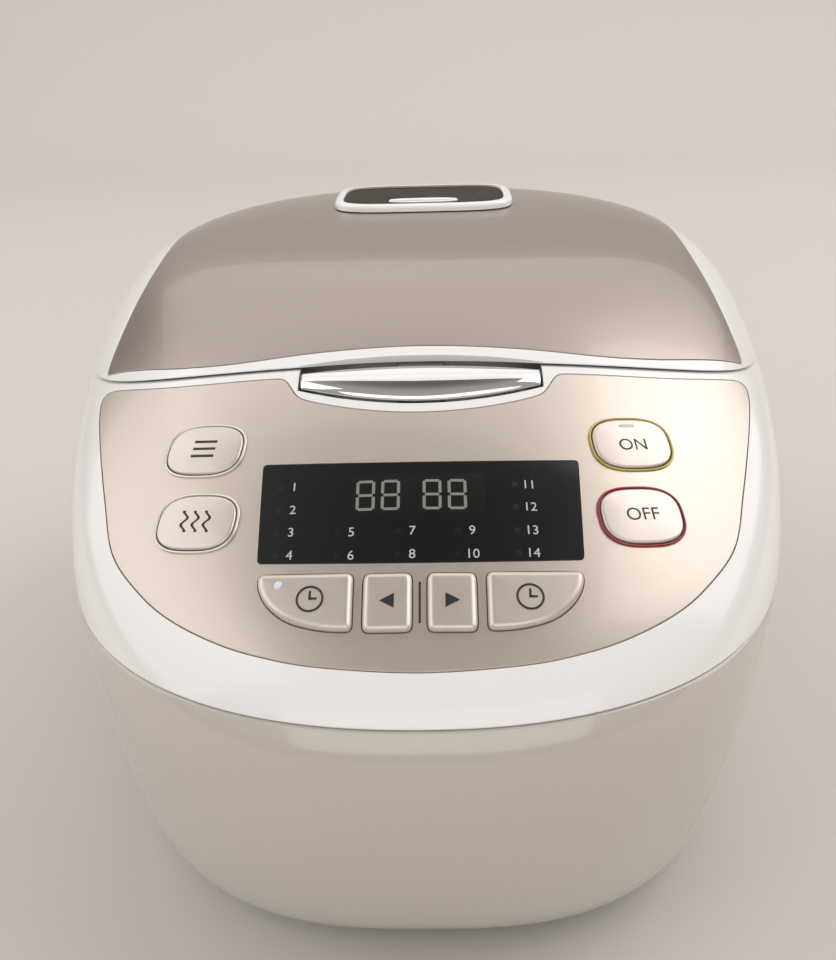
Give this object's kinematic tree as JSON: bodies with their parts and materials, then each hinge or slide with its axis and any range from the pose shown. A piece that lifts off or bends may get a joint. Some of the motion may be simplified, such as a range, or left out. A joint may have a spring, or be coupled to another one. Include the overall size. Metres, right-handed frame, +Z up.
{
  "type": "rice cooker",
  "caption": "Jar rice cooker with hinged lid, latch button, sloping key panel with display, removable steam cap, pan, heater and dew cup",
  "frame": {"origin": "centre of the bounding box in plan, on the plane the feet stand on", "axes": "+X to the right seen from the front, +Y to the back, +Z up; the key panel and the latch button face -Y"},
  "size_m": [0.28, 0.3762, 0.222],
  "materials": {
    "ring_white": "gloss",
    "body_silver": "gloss",
    "lid_silver": "gloss metallic",
    "panel_champagne": "gloss metallic",
    "key_silver": "satin",
    "button_chrome": "mirror",
    "trim_silver": "bright",
    "trim_gold": "bright",
    "trim_red": "bright",
    "window_tint": "gloss",
    "led_grey": "matte",
    "board_green": "satin",
    "part_dark": "matte",
    "lamp_grey": "gloss",
    "cap_white": "gloss",
    "insert_brown": "gloss",
    "base_dark": "matte",
    "foot_rubber": "matte",
    "gasket_grey": "matte",
    "valve_grey": "satin",
    "collector_clear": "gloss",
    "inner_white": "satin",
    "pan_coat": "non-stick",
    "aluminium": "satin",
    "steel": "brushed",
    "brass": "satin",
    "heater_mica": "matte",
    "heater_cord": "matte",
    "wire_red": "satin",
    "hook_plastic": "satin"
  },
  "bodies": {
    "body": {"lower_body": "body_silver", "upper_ring": "ring_white", "bottom_cover": "base_dark", "rubber_feet": "foot_rubber", "screws": "steel", "hinge_cover": "ring_white", "power_inlet": "part_dark", "inlet_pins": "brass", "inner_deck": "inner_white", "well_rim": "gasket_grey", "well_liner": "aluminium", "inner_pan": "pan_coat", "heating_plate": "aluminium", "sensor_spring": "steel", "sensor_bracket": "steel", "side_heater": "heater_mica", "thermal_fuse": "heater_mica", "wiring_harness": "wire_red", "power_board": "board_green", "power_parts": "part_dark", "control_panel": "panel_champagne", "display_window": "window_tint", "display_module": "led_grey", "control_board": "board_green", "tact_switches": "part_dark", "key_trims": "trim_silver", "start_trim": "trim_gold", "off_trim": "trim_red", "latch_spring": "steel", "latch_pin": "steel", "latch_housing": "inner_white", "hinge_shaft": "steel", "hinge_spring": "steel", "hinge_brackets": "steel"},
    "lid": {"lid_frame": "ring_white", "lid_panel": "lid_silver", "lid_base": "inner_white", "lid_plate": "steel", "inner_lid": "aluminium", "lid_gasket": "gasket_grey", "lid_heater": "heater_cord", "lid_sensor": "part_dark", "lid_catch": "steel", "steam_valve": "valve_grey", "hinge_arms": "steel"},
    "cap": {"steam_cap": "cap_white", "cap_insert": "insert_brown"},
    "open_key": {"open_button": "button_chrome"},
    "latch": {"latch_hook": "hook_plastic"},
    "collector": {"dew_collector": "collector_clear"},
    "sensor": {"centre_sensor": "aluminium"},
    "menu_key": {"menu_button": "key_silver"},
    "warm_key": {"warm_button": "key_silver"},
    "start_key": {"start_button": "key_silver", "start_lamp": "lamp_grey"},
    "off_key": {"off_button": "key_silver"},
    "timer_key": {"timer_button": "key_silver"},
    "left_key": {"left_button": "key_silver"},
    "right_key": {"right_button": "key_silver"},
    "cook_time_key": {"cook_time_button": "key_silver"}
  },
  "joints": [
    {"name": "lid_hinge", "type": "hinge", "parent": "body", "child": "lid", "pos_m": [0, 0.175, 0.177], "axis": [-1, 0, 0], "range_deg": [0, 85]},
    {"name": "cap_lift", "type": "slide", "parent": "lid", "child": "cap", "axis": [0, 0, 1], "range_m": [0, 0.015]},
    {"name": "open_press", "type": "slide", "parent": "body", "child": "open_key", "axis": [0, 0.4979, -0.8672], "range_m": [0, 0.0024], "stiffness_N_per_m": 500, "springref_m": -0.002},
    {"name": "latch_turn", "type": "hinge", "parent": "body", "child": "latch", "pos_m": [0, -0.068, 0.1745], "axis": [1, 0, 0], "range_deg": [0, 12]},
    {"name": "collector_pull", "type": "slide", "parent": "body", "child": "collector", "axis": [0, 1, 0], "range_m": [0, 0.025]},
    {"name": "sensor_press", "type": "slide", "parent": "body", "child": "sensor", "axis": [0, 0, -1], "range_m": [0, 0.003], "stiffness_N_per_m": 400, "springref_m": -0.003, "deforming": ["sensor_spring"]},
    {"name": "menu_press", "type": "slide", "parent": "body", "child": "menu_key", "axis": [0.1741, 0.4641, -0.8685], "range_m": [0, 0.0008], "stiffness_N_per_m": 600, "springref_m": -0.001},
    {"name": "warm_press", "type": "slide", "parent": "body", "child": "warm_key", "axis": [0.1826, 0.4933, -0.8505], "range_m": [0, 0.0008], "stiffness_N_per_m": 600, "springref_m": -0.001},
    {"name": "start_press", "type": "slide", "parent": "body", "child": "start_key", "axis": [-0.1741, 0.4641, -0.8685], "range_m": [0, 0.0008], "stiffness_N_per_m": 600, "springref_m": -0.001},
    {"name": "off_press", "type": "slide", "parent": "body", "child": "off_key", "axis": [-0.1826, 0.4933, -0.8505], "range_m": [0, 0.0008], "stiffness_N_per_m": 600, "springref_m": -0.001},
    {"name": "timer_press", "type": "slide", "parent": "body", "child": "timer_key", "axis": [0.0882, 0.5329, -0.8416], "range_m": [0, 0.0008], "stiffness_N_per_m": 600, "springref_m": -0.001},
    {"name": "left_press", "type": "slide", "parent": "body", "child": "left_key", "axis": [0.0231, 0.5305, -0.8473], "range_m": [0, 0.0008], "stiffness_N_per_m": 600, "springref_m": -0.001},
    {"name": "right_press", "type": "slide", "parent": "body", "child": "right_key", "axis": [-0.0231, 0.5305, -0.8473], "range_m": [0, 0.0008], "stiffness_N_per_m": 600, "springref_m": -0.001},
    {"name": "cook_time_press", "type": "slide", "parent": "body", "child": "cook_time_key", "axis": [-0.0882, 0.5329, -0.8416], "range_m": [0, 0.0008], "stiffness_N_per_m": 600, "springref_m": -0.001}
  ],
  "couplings": [
    {"joint": "latch_turn", "follows": "open_press", "rad_per_m": 86.2}
  ]
}
